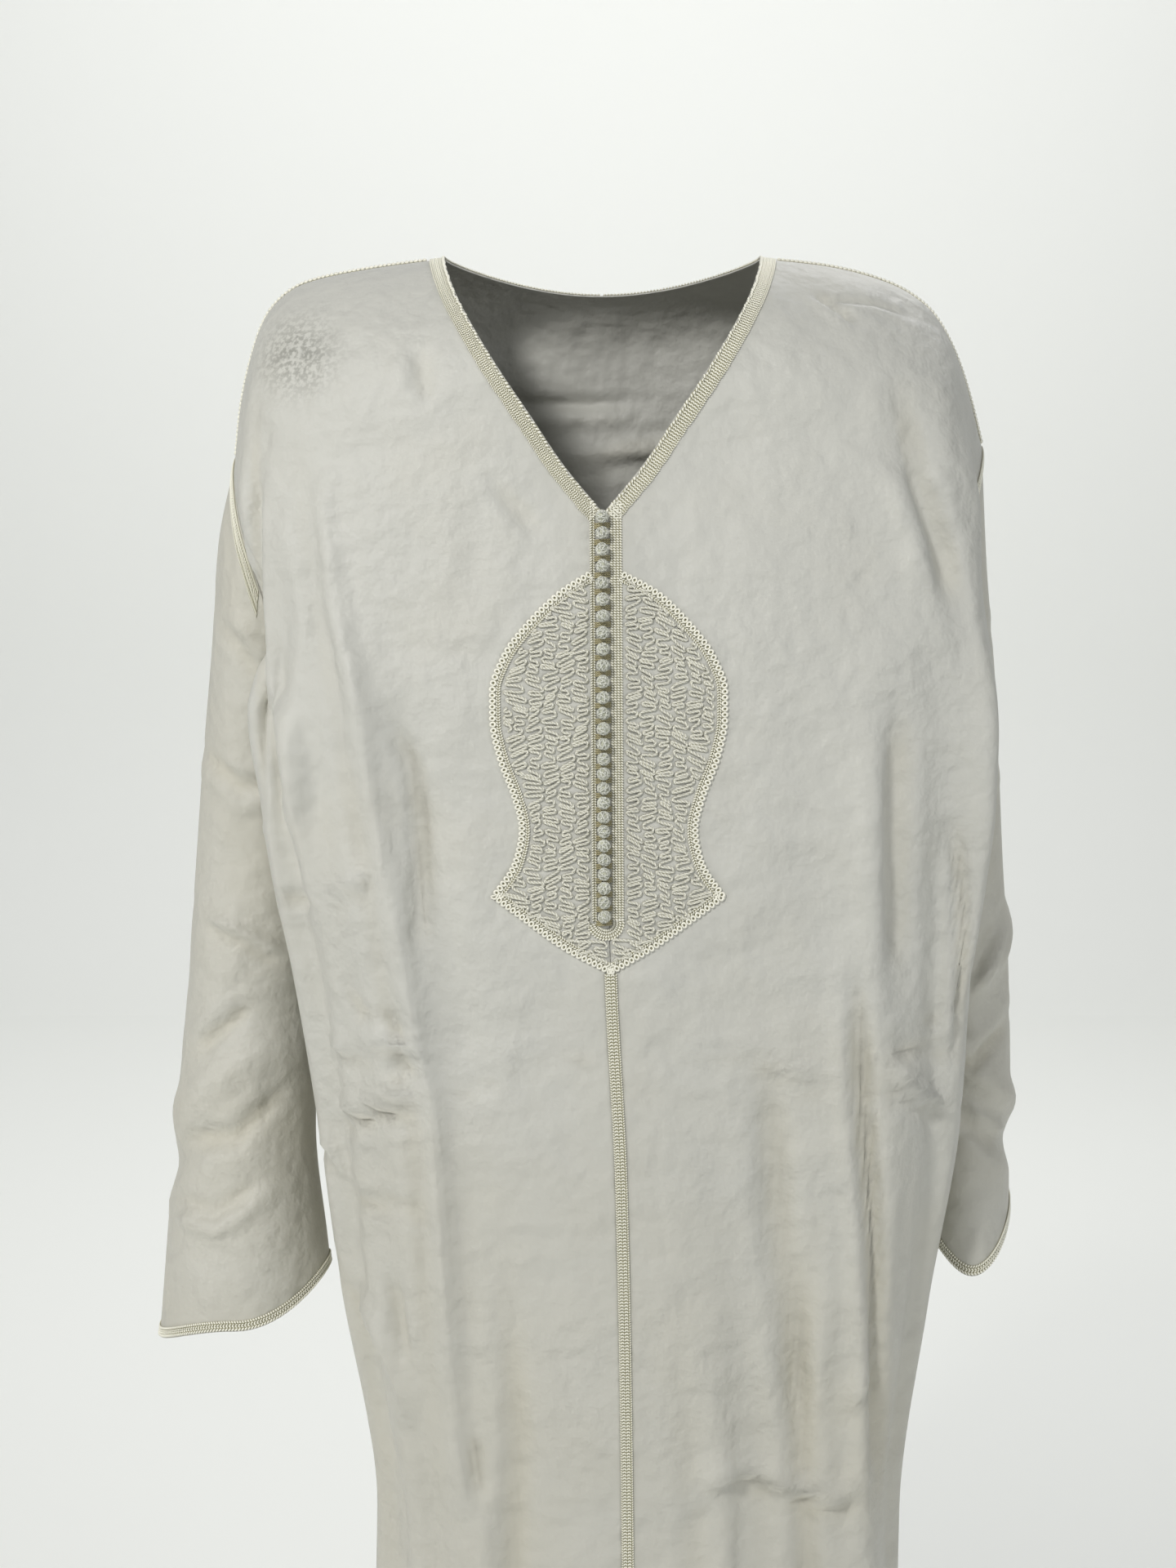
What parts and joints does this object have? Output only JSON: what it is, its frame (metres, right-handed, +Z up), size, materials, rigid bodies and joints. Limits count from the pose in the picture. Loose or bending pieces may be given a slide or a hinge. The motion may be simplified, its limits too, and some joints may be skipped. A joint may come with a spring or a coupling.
{
  "type": "djellaba robe",
  "caption": "Long hoodless ivory robe with wide straight sleeves, a braided V neck, a close row of knotted buttons in a corded chest shield, and a braided front seam.",
  "frame": {"origin": "middle of the neck opening, level with the shoulder seams where they meet the neck, where the wearer's shoulders hold the robe", "axes": "+Z up along the robe's length, -Y the way the wearer faces, +X the wearer's left"},
  "size_m": [0.6066, 0.3447, 1.4021],
  "materials": {
    "cloth": "smooth ivory cloth with a faint sheen",
    "braid": "plaited pale gold-ivory rayon braid and cord",
    "knots": "tightly knotted ivory cord"
  },
  "bodies": {
    "root": {"front_right": "cloth", "front_left": "cloth", "back": "cloth", "sleeve_right": "cloth", "sleeve_left": "cloth", "neck_braid_right": "braid", "neck_braid_left": "braid", "neck_braid_back": "braid", "placket_braid_right": "braid", "placket_braid_left": "braid", "button_loops": "braid", "plastron_edge_right": "braid", "plastron_edge_left": "braid", "plastron_right": "braid", "plastron_left": "braid", "front_seam_braid": "braid", "shoulder_cord_right": "braid", "shoulder_cord_left": "braid", "armhole_braid_right": "braid", "armhole_braid_left": "braid", "cuff_braid_right": "braid", "cuff_braid_left": "braid", "button_01": "knots", "button_02": "knots", "button_03": "knots", "button_04": "knots", "button_05": "knots", "button_06": "knots", "button_07": "knots", "button_08": "knots", "button_09": "knots", "button_10": "knots", "button_11": "knots", "button_12": "knots", "button_13": "knots", "button_14": "knots", "button_15": "knots", "button_16": "knots", "button_17": "knots", "button_18": "knots", "button_19": "knots", "button_20": "knots", "button_21": "knots", "button_22": "knots", "button_23": "knots", "button_24": "knots", "button_25": "knots", "button_26": "knots", "button_27": "knots"}
  },
  "joints": []
}
